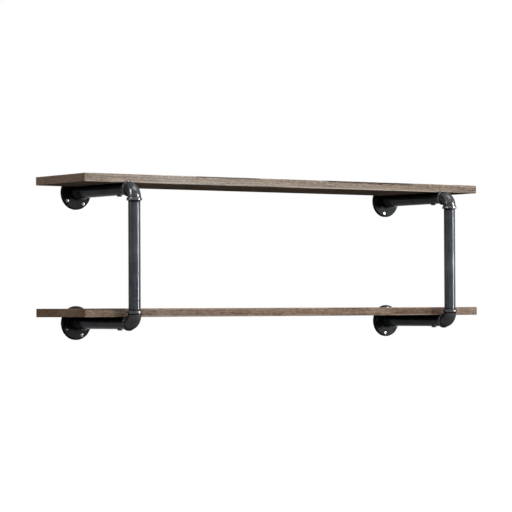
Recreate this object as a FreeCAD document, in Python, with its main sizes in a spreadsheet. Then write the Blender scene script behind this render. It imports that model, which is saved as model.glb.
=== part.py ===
import FreeCAD, Part
import Sketcher
import os

# Two-tier pipe shelf for a wall. Four screwed-on wall flanges each carry a pipe arm. Two boards lie
# across the arms, an elbow closes the front end of each arm, and an upright pipe joins the elbows
# one above the other. Screws come up through the arms into threaded inserts in the boards.
#
# Frame, in millimetres: +Z up, the wall is the plane Y = 0 and the shelf stands in front of it at
# negative Y, X runs along the boards. The origin is on the wall, midway between the left and right
# flanges, at the height of the lower arms' axis. Left and right are the viewer's.

SIZES = [
    ("board_length", 1100.0, "length of each board along the wall"),
    ("board_depth", 209.0, "depth of each board from back edge to front face"),
    ("board_thickness", 19.0, "thickness of each board"),
    ("board_edge_round", 1.5, "radius that eases the boards' edges"),
    ("shelf_rise", 292.0, "height from the lower arms' axis to the upper arms' axis"),
    ("arm_inset", 108.0, "distance from a board's end to the axis of the nearer arm"),
    ("pipe_diameter", 26.7, "outside diameter of the pipe, nominal 3/4 inch"),
    ("pipe_wall", 2.9, "wall of the pipe"),
    ("thread_depth", 0.75, "how far the threaded ends are turned down, to the mean thread"),
    ("thread_chamfer", 0.8, "lead-in chamfer on the tip of a threaded end"),
    ("elbow_reach", 26.5, "elbow, from the crossing of its axes to each end face"),
    ("elbow_wall", 2.1, "elbow, wall over the threaded socket"),
    ("socket_depth", 11.0, "elbow, depth of each threaded socket"),
    ("band_width", 6.0, "elbow, width of the raised band at each end"),
    ("band_rise", 2.0, "elbow, height of the band over the body"),
    ("band_round", 0.9, "elbow, radius on the edges of the band"),
    ("band_root_round", 0.9, "elbow, radius where the band meets the bend"),
    ("flange_diameter", 76.0, "flange, outside diameter of the plate"),
    ("flange_thickness", 7.0, "flange, thickness of the plate"),
    ("flange_edge_round", 3.0, "flange, radius on the front edge of the rim"),
    ("hub_height", 10.0, "flange, height of the low hub from the wall"),
    ("hub_wall", 2.8, "flange, wall of the hub over the thread"),
    ("hub_root_round", 1.3, "flange, radius where the hub meets the plate"),
    ("hub_edge_round", 1.2, "flange, radius on the front edge of the hub"),
    ("wall_hole_margin", 8.0, "flange, from the rim to the centre of a wall-screw hole"),
    ("wall_hole_diameter", 5.0, "flange, through hole for a wall screw"),
    ("wall_sink_diameter", 9.6, "flange, mouth of the countersink"),
    ("wall_sink_angle", 90.0, "flange, angle of the countersink in degrees"),
    ("upper_left_turn", 35.0, "how far the hole pattern is turned, in degrees"),
    ("lower_left_turn", 26.0, "how far the hole pattern is turned, in degrees"),
    ("upper_right_turn", 80.0, "how far the hole pattern is turned, in degrees"),
    ("lower_right_turn", 82.0, "how far the hole pattern is turned, in degrees"),
    ("screw_diameter", 6.0, "board screw, shank"),
    ("screw_head_diameter", 12.0, "board screw, head"),
    ("screw_head_height", 2.8, "board screw, head"),
    ("screw_head_round", 2.2, "board screw, radius on the outer edge of the head"),
    ("screw_drive_width", 4.0, "board screw, hexagon recess across flats"),
    ("screw_drive_depth", 2.2, "board screw, depth of the recess"),
    ("insert_diameter", 9.0, "threaded insert, outside diameter"),
    ("insert_length", 13.0, "threaded insert, length, and the screw's reach into the board"),
    ("rear_screw_distance", 38.0, "from the wall to the rear board screw of an arm"),
    ("front_screw_setback", 60.0, "from the upright's axis back to the front board screw"),
    ("thread_clearance", 0.1, "between a threaded end and its socket, on the radius"),
    ("seat_gap", 0.3, "between a pipe's end or shoulder and the fitting it seats in"),
    ("wall_gap", 2.0, "between an arm's rear end and the wall"),
    ("board_hub_clearance", 1.0, "between a board's back edge and the flange hubs"),
    ("board_elbow_clearance", 1.5, "between a board's front face and the elbows"),
    ("screw_hole_clearance", 0.25, "round a board screw in the arm, on the radius"),
    ("insert_clearance", 0.05, "round an insert in its board, on the radius"),
    ("insert_end_clearance", 1.5, "between an insert's inner end and the bottom of its hole"),
]

document = FreeCAD.newDocument("PipeShelf")
sheet = document.addObject("Spreadsheet::Sheet", "Sizes")
for row, (alias, size, note) in enumerate(SIZES, start=1):
    sheet.set(f"A{row}", note)
    sheet.set(f"B{row}", str(size))
    sheet.setAlias(f"B{row}", alias)
document.recompute()

# Radii of the pipe and of the fittings that are bored for it.
PIPE_RADIUS = "(Sizes.pipe_diameter / 2)"
BORE_RADIUS = f"({PIPE_RADIUS} - Sizes.pipe_wall)"
THREAD_RADIUS = f"({PIPE_RADIUS} - Sizes.thread_depth)"
SOCKET_RADIUS = f"({THREAD_RADIUS} + Sizes.thread_clearance)"
ELBOW_RADIUS = f"({SOCKET_RADIUS} + Sizes.elbow_wall)"
BAND_RADIUS = f"({ELBOW_RADIUS} + Sizes.band_rise)"
BEND_RADIUS = "(Sizes.elbow_reach - Sizes.band_width)"
HUB_RADIUS = f"({SOCKET_RADIUS} + Sizes.hub_wall)"
FLANGE_RADIUS = "(Sizes.flange_diameter / 2)"
WALL_HOLE_CIRCLE = f"({FLANGE_RADIUS} - Sizes.wall_hole_margin)"
HUB_RISE = "(Sizes.hub_height - Sizes.flange_thickness)"

# Distances from the wall, and the lengths that follow from them.
BOARD_BACK = "(Sizes.hub_height + Sizes.board_hub_clearance)"
BOARD_MIDDLE = f"({BOARD_BACK} + Sizes.board_depth / 2)"
UPRIGHT_DISTANCE = (
    f"({BOARD_BACK} + Sizes.board_depth + Sizes.board_elbow_clearance + Sizes.elbow_reach)"
)
ARM_X = "(Sizes.board_length / 2 - Sizes.arm_inset)"
PIPE_SEAT = "(Sizes.elbow_reach - Sizes.socket_depth + Sizes.seat_gap)"
ARM_LENGTH = f"({UPRIGHT_DISTANCE} - {PIPE_SEAT} - Sizes.wall_gap)"
UPRIGHT_LENGTH = f"(Sizes.shelf_rise - 2 * {PIPE_SEAT})"
HUB_THREAD = "(Sizes.hub_height - Sizes.wall_gap + Sizes.seat_gap)"
SCREW_DISTANCE = {
    "rear": "Sizes.rear_screw_distance",
    "front": f"({UPRIGHT_DISTANCE} - Sizes.front_screw_setback)",
}
SIDE = {"left": "-1", "right": "1"}
LEVEL = {"lower": "0", "upper": "Sizes.shelf_rise"}

# The most of a wall that a radius on its edge takes up, alone or as one of two.
LONE_ROUND = 0.8
PAIRED_ROUND = 0.45

X_AXIS = FreeCAD.Vector(1, 0, 0)
Y_AXIS = FreeCAD.Vector(0, 1, 0)
AS_DRAWN = FreeCAD.Rotation()
# Turns a piece drawn along +Z to point from the wall to the front, with its own +Y up.
OUT_FROM_WALL = FreeCAD.Rotation(X_AXIS, 90)
# Turns an elbow drawn with its legs to +Y and +Z so that the second leg points down.
UPSIDE_DOWN = FreeCAD.Rotation(Y_AXIS, 180)


def number(expression):
    """The value of an expression over the sheet's cells."""
    result = sheet.evalExpression(expression)
    return float(getattr(result, "Value", result))


def new_body(node, rotation, x, y, z):
    """A body named after its node, with its place bound to the sheet."""
    body = document.addObject("PartDesign::Body", node)
    body.Label = node
    body.Placement = FreeCAD.Placement(FreeCAD.Vector(), rotation)
    for axis, expression in zip("xyz", (x, y, z)):
        body.setExpression(f"Placement.Base.{axis}", expression)
    return body


def new_sketch(body, name, role, offsets):
    """An empty sketch on one of the body's origin planes, shifted by the given expressions."""
    sketch = body.newObject("Sketcher::SketchObject", name)
    plane = next(item for item in body.Origin.OriginFeatures if item.Role == role)
    sketch.AttachmentSupport = [(plane, "")]
    sketch.MapMode = "FlatFace"
    for axis, expression in offsets.items():
        sketch.setExpression(f"AttachmentOffset.Base.{axis}", expression)
    return sketch


def bind(sketch, kind, elements, name, expression):
    """One dimension of a sketch, named and bound to the sheet."""
    index = sketch.addConstraint(Sketcher.Constraint(kind, *elements, number(expression)))
    sketch.renameConstraint(index, name)
    sketch.setExpression(f"Constraints.{name}", expression)


def outline_sketch(body, name, role, corners, **offsets):
    """A closed outline of straight lines through corners given as pairs of expressions."""
    sketch = new_sketch(body, name, role, offsets)
    points = [FreeCAD.Vector(number(x), number(y), 0) for x, y in corners]
    count = len(points)
    for index in range(count):
        sketch.addGeometry(Part.LineSegment(points[index], points[(index + 1) % count]), False)
    for index in range(count):
        sketch.addConstraint(Sketcher.Constraint("Coincident", index, 2, (index + 1) % count, 1))
    for index, (x, y) in enumerate(corners):
        bind(sketch, "DistanceX", (-1, 1, index, 1), f"corner_{index}_x", x)
        bind(sketch, "DistanceY", (-1, 1, index, 1), f"corner_{index}_y", y)
    return sketch


def circle_sketch(body, name, role, circles, **offsets):
    """Circles given by expressions for their centres and radii."""
    sketch = new_sketch(body, name, role, offsets)
    for index, (x, y, radius) in enumerate(circles):
        centre = FreeCAD.Vector(number(x), number(y), 0)
        normal = FreeCAD.Vector(0, 0, 1)
        sketch.addGeometry(Part.Circle(centre, normal, number(radius)), False)
        bind(sketch, "DistanceX", (-1, 1, index, 3), f"centre_{index}_x", x)
        bind(sketch, "DistanceY", (-1, 1, index, 3), f"centre_{index}_y", y)
        bind(sketch, "Radius", (index,), f"radius_{index}", radius)
    return sketch


def pad(body, name, sketch, length, backwards=False):
    feature = body.newObject("PartDesign::Pad", name)
    feature.Profile = sketch
    feature.Reversed = backwards
    feature.setExpression("Length", length)
    return feature


def pocket(body, name, sketch, depth, backwards=False, both_ways=False):
    feature = body.newObject("PartDesign::Pocket", name)
    feature.Profile = sketch
    feature.Reversed = backwards
    feature.Midplane = both_ways
    feature.setExpression("Length", depth)
    return feature


def turned(body, kind, name, sketch, axis, angle=360, backwards=False):
    """A Revolution or a Groove about one of the sketch's own axes."""
    feature = body.newObject(f"PartDesign::{kind}", name)
    feature.Profile = sketch
    feature.ReferenceAxis = (sketch, [axis])
    feature.Angle = angle
    feature.Reversed = backwards
    return feature


def ring_edges(body, radius, height=None):
    """Names of the full circles of one radius, at one height along Z where it is given."""
    document.recompute()
    names = []
    for index, edge in enumerate(body.Tip.Shape.Edges, start=1):
        curve = edge.Curve
        if not isinstance(curve, Part.Circle) or abs(curve.Radius - number(radius)) > 1e-4:
            continue
        if height is None or abs(curve.Center.z - number(height)) < 1e-4:
            names.append(f"Edge{index}")
    return names


def dressed(body, kind, name, edges, size_name, size):
    """A Fillet or a Chamfer on named edges of the body as it stands."""
    base = body.Tip
    feature = body.newObject(f"PartDesign::{kind}", name)
    feature.Base = (base, edges)
    feature.setExpression(size_name, size)
    return feature


def make_board(node, level):
    """A plank with eased edges and blind holes for the inserts in its underside."""
    body = new_body(node, AS_DRAWN, "0", f"-{BOARD_MIDDLE}", f"{LEVEL[level]} + {PIPE_RADIUS}")
    half_length = "(Sizes.board_length / 2)"
    half_depth = "(Sizes.board_depth / 2)"
    corners = [
        (f"-{half_length}", f"-{half_depth}"),
        (half_length, f"-{half_depth}"),
        (half_length, half_depth),
        (f"-{half_length}", half_depth),
    ]
    pad(body, "plank", outline_sketch(body, "plank_outline", "XY_Plane", corners),
        "Sizes.board_thickness")
    document.recompute()
    every_edge = [f"Edge{index + 1}" for index in range(len(body.Tip.Shape.Edges))]
    dressed(body, "Fillet", "eased_edges", every_edge, "Radius", "Sizes.board_edge_round")
    radius = "Sizes.insert_diameter / 2 + Sizes.insert_clearance"
    holes = [
        (f"{sign} * {ARM_X}", f"{BOARD_MIDDLE} - {distance}", radius)
        for sign in SIDE.values()
        for distance in SCREW_DISTANCE.values()
    ]
    pocket(body, "insert_holes", circle_sketch(body, "insert_hole_circles", "XY_Plane", holes),
           "Sizes.insert_length + Sizes.insert_end_clearance", backwards=True)


def make_pipe(node, rotation, place, length, first_thread, second_thread):
    """A pipe along +Z from its first end, turned down at both ends for the threads."""
    body = new_body(node, rotation, *place)
    half_section = [
        (BORE_RADIUS, "0"),
        (THREAD_RADIUS, "0"),
        (THREAD_RADIUS, first_thread),
        (PIPE_RADIUS, first_thread),
        (PIPE_RADIUS, f"{length} - {second_thread}"),
        (THREAD_RADIUS, f"{length} - {second_thread}"),
        (THREAD_RADIUS, length),
        (BORE_RADIUS, length),
    ]
    sketch = outline_sketch(body, "pipe_section", "XZ_Plane", half_section)
    turned(body, "Revolution", "pipe", sketch, "V_Axis")
    tips = ring_edges(body, THREAD_RADIUS, "0") + ring_edges(body, THREAD_RADIUS, length)
    dressed(body, "Chamfer", "thread_lead_in", tips, "Size", "Sizes.thread_chamfer")
    return body


def make_arm(node, side, level):
    """A horizontal pipe from the wall flange to the elbow, drilled for its two board screws."""
    place = (f"{SIDE[side]} * {ARM_X}", "-Sizes.wall_gap", LEVEL[level])
    body = make_pipe(node, OUT_FROM_WALL, place, ARM_LENGTH, HUB_THREAD, "Sizes.socket_depth")
    radius = "Sizes.screw_diameter / 2 + Sizes.screw_hole_clearance"
    holes = [("0", f"{distance} - Sizes.wall_gap", radius) for distance in SCREW_DISTANCE.values()]
    pocket(body, "screw_holes", circle_sketch(body, "screw_hole_circles", "XZ_Plane", holes),
           "2 * Sizes.pipe_diameter", both_ways=True)


def make_upright(node, side):
    """A vertical pipe between the lower and the upper elbow."""
    place = (f"{SIDE[side]} * {ARM_X}", f"-{UPRIGHT_DISTANCE}", PIPE_SEAT)
    make_pipe(node, AS_DRAWN, place, UPRIGHT_LENGTH, "Sizes.socket_depth", "Sizes.socket_depth")


def make_elbow(node, side, level):
    """A banded elbow: a quarter bend between two threaded, banded mouths, bored right through."""
    rotation = UPSIDE_DOWN if level == "upper" else AS_DRAWN
    body = new_body(node, rotation, f"{SIDE[side]} * {ARM_X}", f"-{UPRIGHT_DISTANCE}", LEVEL[level])
    # The bend's section stands where the bend meets the band of the rear leg, and turns about a
    # line along X through the bend's centre.
    at_bend = {"y": BEND_RADIUS, "z": f"-{BEND_RADIUS}"}
    outside = [("0", f"-{BEND_RADIUS}", ELBOW_RADIUS)]
    section = circle_sketch(body, "bend_section", "XZ_Plane", outside, **at_bend)
    turned(body, "Revolution", "bend", section, "H_Axis", angle=90, backwards=True)
    band = [("0", "0", BAND_RADIUS)]
    rear_end = {"z": "-Sizes.elbow_reach"}
    upright_end = {"z": "Sizes.elbow_reach"}
    rear_band = circle_sketch(body, "rear_band_circle", "XZ_Plane", band, **rear_end)
    pad(body, "rear_band", rear_band, "Sizes.band_width")
    upright_band = circle_sketch(body, "upright_band_circle", "XY_Plane", band, **upright_end)
    pad(body, "upright_band", upright_band, "Sizes.band_width", backwards=True)
    dressed(body, "Fillet", "band_edges", ring_edges(body, BAND_RADIUS), "Radius",
            f"min(Sizes.band_round; {PAIRED_ROUND} * Sizes.band_rise; {PAIRED_ROUND} * Sizes.band_width)")
    dressed(body, "Fillet", "band_roots", ring_edges(body, ELBOW_RADIUS), "Radius",
            f"min(Sizes.band_root_round; {PAIRED_ROUND} * Sizes.band_rise)")
    inside = [("0", f"-{BEND_RADIUS}", BORE_RADIUS)]
    bore = circle_sketch(body, "bore_section", "XZ_Plane", inside, **at_bend)
    turned(body, "Groove", "bore", bore, "H_Axis", angle=90, backwards=True)
    socket = [("0", "0", SOCKET_RADIUS)]
    rear_socket = circle_sketch(body, "rear_socket_circle", "XZ_Plane", socket, **rear_end)
    pocket(body, "rear_socket", rear_socket, "Sizes.socket_depth", backwards=True)
    upright_socket = circle_sketch(body, "upright_socket_circle", "XY_Plane", socket, **upright_end)
    pocket(body, "upright_socket", upright_socket, "Sizes.socket_depth")


def make_flange(node, side, level):
    """A round wall flange: plate, low filleted hub, through bore and four countersunk holes."""
    body = new_body(node, OUT_FROM_WALL, f"{SIDE[side]} * {ARM_X}", "0", LEVEL[level])
    half_section = [
        (SOCKET_RADIUS, "0"),
        (FLANGE_RADIUS, "0"),
        (FLANGE_RADIUS, "Sizes.flange_thickness"),
        (HUB_RADIUS, "Sizes.flange_thickness"),
        (HUB_RADIUS, "Sizes.hub_height"),
        (SOCKET_RADIUS, "Sizes.hub_height"),
    ]
    section = outline_sketch(body, "flange_section", "XZ_Plane", half_section)
    turned(body, "Revolution", "casting", section, "V_Axis")
    # The rim's round leaves a straight band at the wall; the hub's two rounds share its low wall.
    rounds = [
        ("rim_round", FLANGE_RADIUS, "Sizes.flange_thickness",
         f"min(Sizes.flange_edge_round; {LONE_ROUND} * Sizes.flange_thickness)"),
        ("hub_round", HUB_RADIUS, "Sizes.hub_height",
         f"min(Sizes.hub_edge_round; {PAIRED_ROUND} * {HUB_RISE})"),
        ("root_round", HUB_RADIUS, "Sizes.flange_thickness",
         f"min(Sizes.hub_root_round; {PAIRED_ROUND} * {HUB_RISE})"),
    ]
    for name, radius, height, size in rounds:
        dressed(body, "Fillet", name, ring_edges(body, radius, height), "Radius", size)
    turn = f"Sizes.{level}_{side}_turn * 1 deg"
    first = [(f"{WALL_HOLE_CIRCLE} * cos({turn})", f"{WALL_HOLE_CIRCLE} * sin({turn})",
              "Sizes.wall_hole_diameter / 2")]
    centre = circle_sketch(body, "wall_hole_centre", "XY_Plane", first, z="Sizes.flange_thickness")
    hole = body.newObject("PartDesign::Hole", "wall_hole")
    hole.Profile = centre
    document.recompute()
    hole.DepthType = "ThroughAll"
    hole.HoleCutType = "Countersink"
    hole.HoleCutCustomValues = True
    hole.setExpression("Diameter", "Sizes.wall_hole_diameter")
    hole.setExpression("HoleCutDiameter", "Sizes.wall_sink_diameter")
    hole.setExpression("HoleCutCountersinkAngle", "Sizes.wall_sink_angle")
    document.recompute()
    pattern = body.newObject("PartDesign::PolarPattern", "wall_holes")
    pattern.Originals = [hole]
    pattern.Axis = (section, ["V_Axis"])
    pattern.Angle = 360
    pattern.Occurrences = 4
    body.Tip = pattern


def make_screw(node, side, level, distance):
    """A board screw, head down under the arm: round-edged head, hexagon recess, plain shank."""
    head_bottom = f"{LEVEL[level]} - {PIPE_RADIUS} - Sizes.screw_head_height"
    body = new_body(node, AS_DRAWN, f"{SIDE[side]} * {ARM_X}", f"-{distance}", head_bottom)
    head_radius = "Sizes.screw_head_diameter / 2"
    shank_radius = "Sizes.screw_diameter / 2"
    tip = "Sizes.screw_head_height + Sizes.pipe_diameter + Sizes.insert_length"
    half_section = [
        ("0", "0"),
        (head_radius, "0"),
        (head_radius, "Sizes.screw_head_height"),
        (shank_radius, "Sizes.screw_head_height"),
        (shank_radius, f"{tip} - Sizes.thread_chamfer"),
        (f"{shank_radius} - Sizes.thread_chamfer", tip),
        ("0", tip),
    ]
    sketch = outline_sketch(body, "screw_section", "XZ_Plane", half_section)
    turned(body, "Revolution", "screw", sketch, "V_Axis")
    dressed(body, "Fillet", "head_round", ring_edges(body, head_radius, "0"), "Radius",
            f"min(Sizes.screw_head_round; {LONE_ROUND} * Sizes.screw_head_height)")
    corner_radius = "Sizes.screw_drive_width / sqrt(3)"
    hexagon = [
        (f"{corner_radius} * cos({60 * corner} deg)", f"{corner_radius} * sin({60 * corner} deg)")
        for corner in range(6)
    ]
    pocket(body, "drive", outline_sketch(body, "drive_hexagon", "XY_Plane", hexagon),
           "Sizes.screw_drive_depth", backwards=True)


def make_insert(node, side, level, distance):
    """A threaded sleeve, flush with the board's underside."""
    underside = f"{LEVEL[level]} + {PIPE_RADIUS}"
    body = new_body(node, AS_DRAWN, f"{SIDE[side]} * {ARM_X}", f"-{distance}", underside)
    inner = "Sizes.screw_diameter / 2 + Sizes.thread_clearance"
    outer = "Sizes.insert_diameter / 2"
    wall = [
        (inner, "0"),
        (outer, "0"),
        (outer, "Sizes.insert_length"),
        (inner, "Sizes.insert_length"),
    ]
    turned(body, "Revolution", "sleeve", outline_sketch(body, "sleeve_section", "XZ_Plane", wall),
           "V_Axis")


for level in LEVEL:
    make_board(f"{level}_shelf_board", level)
    for side in SIDE:
        corner = f"{level}_{side}"
        make_flange(f"{corner}_wall_flange", side, level)
        make_arm(f"{corner}_arm_pipe", side, level)
        make_elbow(f"{corner}_elbow", side, level)
        for position, distance in SCREW_DISTANCE.items():
            make_screw(f"{corner}_{position}_board_screw", side, level, distance)
            make_insert(f"{corner}_{position}_insert", side, level, distance)
for side in SIDE:
    make_upright(f"{side}_upright_pipe", side)
document.recompute()

for item in document.Objects:
    if "Invalid" in item.State or "Error" in item.State:
        raise RuntimeError(f"{item.Label} failed: {item.State}")

nodes = [item for item in document.Objects if item.TypeId == "PartDesign::Body"]
for body in nodes:
    if body.Shape.isNull() or not body.Shape.isValid() or len(body.Shape.Solids) != 1:
        raise RuntimeError(f"{body.Label} isn't one valid solid")

os.makedirs("parts", exist_ok=True)
for body in nodes:
    body.Shape.exportStep(f"parts/{body.Label}.step")
    box = body.Shape.BoundBox
    print(f"{body.Label}: {body.Shape.Volume / 1000:.2f} cm3, "
          f"X {box.XMin:.1f} to {box.XMax:.1f}, Y {box.YMin:.1f} to {box.YMax:.1f}, "
          f"Z {box.ZMin:.1f} to {box.ZMax:.1f}")
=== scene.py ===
# %% [markdown]
# # A pipe shelf for a wall
#
# Two planks lie on black pipe arms. Each arm is screwed into a round flange on the wall, a banded
# elbow closes its front end, and an upright pipe joins the elbows one above the other. The solids
# come ready-made from a CAD program. Blender gives them their looks: it replaces the planks by
# sawn ones, adds the wall screws, and makes every finish out of nodes. All sizes are in metres,
# +Z is up, and the wall is the plane Y = 0 with the shelf in front of it at negative Y.

# %% Load the ready-made solids
import math

import bmesh
import bpy
from mathutils import Matrix, Vector, noise


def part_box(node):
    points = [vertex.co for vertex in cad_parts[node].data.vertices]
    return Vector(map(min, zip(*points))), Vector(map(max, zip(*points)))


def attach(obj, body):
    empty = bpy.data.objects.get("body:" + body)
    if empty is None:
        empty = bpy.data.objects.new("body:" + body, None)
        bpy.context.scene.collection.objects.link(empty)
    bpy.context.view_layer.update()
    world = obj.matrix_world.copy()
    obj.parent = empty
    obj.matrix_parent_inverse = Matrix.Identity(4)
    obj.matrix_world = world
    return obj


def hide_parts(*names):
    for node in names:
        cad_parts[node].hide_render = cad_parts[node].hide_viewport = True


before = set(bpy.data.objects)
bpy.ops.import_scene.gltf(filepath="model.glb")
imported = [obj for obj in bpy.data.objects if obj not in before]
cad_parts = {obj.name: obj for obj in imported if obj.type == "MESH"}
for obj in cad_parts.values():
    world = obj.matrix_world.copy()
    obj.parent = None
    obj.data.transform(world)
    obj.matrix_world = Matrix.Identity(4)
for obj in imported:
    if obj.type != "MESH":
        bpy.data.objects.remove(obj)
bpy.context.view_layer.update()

print("solids:", len(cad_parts))

# %% [markdown]
# ## The camera
#
# The shelf is seen from the left and from about the height of its lower plank. A camera far away
# with a long lens keeps the planks' long edges nearly parallel. Its rotation could be dialled in
# as three numbers, but it is clearer as a chain of plain turns, which are read from the last to
# the first: roll a little, tilt up from straight down to the horizon, then turn to the right.

# %% Place the camera
MM = 0.001
CAMERA_PLACE = Vector((-3.2512, -4.6794, 0.0283))
CAMERA_TURN = math.radians(35.242)
CAMERA_TILT = math.radians(1.266)
CAMERA_ROLL = math.radians(-0.262)
SENSOR_WIDTH = 36.0
LENS = 170.53
FARTHEST_SEEN = 60.0


def add_object(name, data):
    """An object in the scene for a mesh, a lamp or a camera."""
    made = bpy.data.objects.new(name, data)
    bpy.context.scene.collection.objects.link(made)
    return made


camera = add_object("camera", bpy.data.cameras.new("camera"))
camera.data.sensor_width = SENSOR_WIDTH
camera.data.lens = LENS
camera.data.clip_end = FARTHEST_SEEN
camera.matrix_world = (
    Matrix.Translation(CAMERA_PLACE)
    @ Matrix.Rotation(-CAMERA_TURN, 4, "Z")
    @ Matrix.Rotation(math.pi / 2 + CAMERA_TILT, 4, "X")
    @ Matrix.Rotation(CAMERA_ROLL, 4, "Z")
)
bpy.context.scene.camera = camera
print("camera to the origin:", round(CAMERA_PLACE.length, 3), "m")

# %% [markdown]
# ## Nodes without clutter
#
# Every finish below is a small tree of shader nodes. Drawn by hand, such a tree is quick to try
# and hard to repeat. In code one helper adds a node and fills its sockets: an output of another
# node is linked, and anything else becomes the value. The others wrap the nodes that come up most,
# so that a finish reads like a recipe.

# %% Add a node, and calculate with nodes
def put(tree, kind, sockets=None, **settings):
    """Adds a node. An output given for a socket is linked, anything else is its value."""
    made = tree.nodes.new(kind)
    for name, value in settings.items():
        setattr(made, name, value)
    for name, value in (sockets or {}).items():
        if isinstance(value, bpy.types.NodeSocket):
            tree.links.new(value, made.inputs[name])
        else:
            made.inputs[name].default_value = value
    return made


def math_node(tree, operation, first, second=0.0, third=0.0, clamp=False):
    sockets = {0: first, 1: second, 2: third}
    return put(tree, "ShaderNodeMath", sockets, operation=operation, use_clamp=clamp).outputs[0]


def times(tree, first, *others):
    """The product of all the values."""
    for other in others:
        first = math_node(tree, "MULTIPLY", first, other)
    return first


def add_part(tree, base, value, share):
    """The base, with a share of another value added."""
    return math_node(tree, "MULTIPLY_ADD", value, share, base)


def fit(tree, value, low, high, new_low=0.0, new_high=1.0, smooth=False):
    """Maps low..high to new_low..new_high, and holds the ends."""
    kind = "SMOOTHSTEP" if smooth else "LINEAR"
    sockets = {0: value, 1: low, 2: high, 3: new_low, 4: new_high}
    return put(tree, "ShaderNodeMapRange", sockets, interpolation_type=kind).outputs[0]

# %% [markdown]
# ## Colours and noise
#
# A finish is mostly a base colour that noise breaks up. Colours are mixed by a factor from 0 to 1,
# or read off a ramp. Noise that is stretched along one axis gives grain and rolling marks, and
# even noise gives sand and dust.

# %% Mix colours and make noise
def mix_colours(tree, factor, first, second, blend="MIX"):
    settings = {"data_type": "RGBA", "blend_type": blend, "clamp_factor": True}
    return put(tree, "ShaderNodeMix", {0: factor, 6: first, 7: second}, **settings).outputs[2]


def shade(colour, strength=1.0):
    """A colour made darker or lighter, with the fourth number that sockets ask for."""
    return (*[strength * part for part in colour], 1.0)


def ramp(tree, factor, stops):
    """A colour ramp through (place, colour) stops."""
    made = put(tree, "ShaderNodeValToRGB", {0: factor})
    elements = made.color_ramp.elements
    while len(elements) < len(stops):
        elements.new(0.5)
    for element, (place, colour) in zip(elements, stops):
        element.position = place
        element.color = shade(colour)
    return made.outputs[0]


def noise_at(tree, vector, scale, detail=3.0, roughness=0.55, distortion=0.0):
    sockets = {"Vector": vector, "Scale": scale, "Detail": detail, "Roughness": roughness,
               "Distortion": distortion}
    return put(tree, "ShaderNodeTexNoise", sockets).outputs[0]


def stretched(tree, vector, scale, shift=(0.0, 0.0, 0.0)):
    """The coordinates scaled differently along X, Y and Z."""
    sockets = {"Vector": vector, "Scale": scale, "Location": shift}
    return put(tree, "ShaderNodeMapping", sockets).outputs[0]

# %% [markdown]
# ## A finish to start from
#
# Each finish begins with a principled surface and the object's own coordinates. The ready-made
# solids all have their origin in the same place, so one finish runs on from piece to piece and is
# still different on each. Fine unevenness is a bump and not a shape: it is far below a millimetre,
# so only the light shows it.

# %% Start a finish and give it relief
def new_finish(name):
    """A material, its tree and surface, and the object's own coordinates in metres."""
    material = bpy.data.materials.new(name)
    material.use_nodes = True
    tree = material.node_tree
    tree.nodes.clear()
    surface = put(tree, "ShaderNodeBsdfPrincipled")
    put(tree, "ShaderNodeOutputMaterial", {"Surface": surface.outputs[0]})
    place = put(tree, "ShaderNodeTexCoord").outputs["Object"]
    return material, tree, surface, place


def link(tree, source, surface, socket):
    tree.links.new(source, surface.inputs[socket])


def bump(tree, surface, *layers):
    """Stacks bumps, each (height, distance in metres), and gives the result to the surface."""
    normal = None
    for height, distance in layers:
        sockets = {"Height": height, "Distance": distance, "Strength": 1.0}
        if normal is not None:
            sockets["Normal"] = normal
        normal = put(tree, "ShaderNodeBump", sockets).outputs[0]
    link(tree, normal, surface, "Normal")

# %% [markdown]
# ## Where a coat wears and where shade is painted
#
# A coat is rubbed off the outer edges, and shade is painted into the corners. Both places could be
# painted by hand, but nodes find them on any shape. The bevel node rounds the normals near an edge,
# so an edge is where they differ from the true ones. The ambient occlusion node tells how open a
# point lies, and so where the shade goes.

# %% Find edges and corners
FLAT_LIKENESS, EDGE_LIKENESS = 0.995, 0.90


def edge_wear(tree, place, width, grain):
    """1 on rounded or sharp outer edges and 0 on flat stretches, broken up by noise."""
    smoothed = put(tree, "ShaderNodeBevel", {"Radius": width}, samples=6).outputs[0]
    true_normal = put(tree, "ShaderNodeNewGeometry").outputs["Normal"]
    both = {0: smoothed, 1: true_normal}
    dot = put(tree, "ShaderNodeVectorMath", both, operation="DOT_PRODUCT")
    edge = fit(tree, dot.outputs["Value"], FLAT_LIKENESS, EDGE_LIKENESS, smooth=True)
    broken = fit(tree, noise_at(tree, place, grain, 4.0, 0.7), 0.42, 0.62)
    return times(tree, edge, broken)


def occlusion_shade(tree, depth, start=0.75, full=0.35):
    """Painted shade: 0 where a point is open by more than the start, and 1 where it is open by less than
    full.
    """
    occlusion = put(tree, "ShaderNodeAmbientOcclusion", {"Distance": depth}, samples=8)
    return fit(tree, occlusion.outputs["AO"], start, full)

# %% [markdown]
# ## A white room
#
# The shelf hangs over a wide white floor. More light would make the floor white and the planks too
# pale, so the floor glows instead, and only for the rays that show it: those of the camera and of
# reflections. The light that falls on the shelf is set apart and lower, so that the planks'
# undersides stay dark. The floor's own matt part still takes the shelf's shadow, and from below
# the floor is clear, so that the shelf can be looked at from there.

# %% Lay the floor
WHITE = (1, 1, 1, 1)
FLOOR_HEIGHT = -0.62
FLOOR_RADIUS = 14.0
FLOOR_STEPS = 96
FLOOR_SPECKLE = 30.0
FLOOR_GREYS = (0.075, 0.085)
GLOW_REACH = (1.0, 3.0)
GLOW_STRENGTH = (0.93, 1.0)


def seen_directly(tree):
    """1 for camera, glossy and transmission rays, and 0 for the light that lands on things."""
    rays = put(tree, "ShaderNodeLightPath").outputs
    either = math_node(tree, "ADD", rays["Is Camera Ray"], rays["Is Glossy Ray"])
    return math_node(tree, "ADD", either, rays["Is Transmission Ray"], clamp=True)


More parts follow.
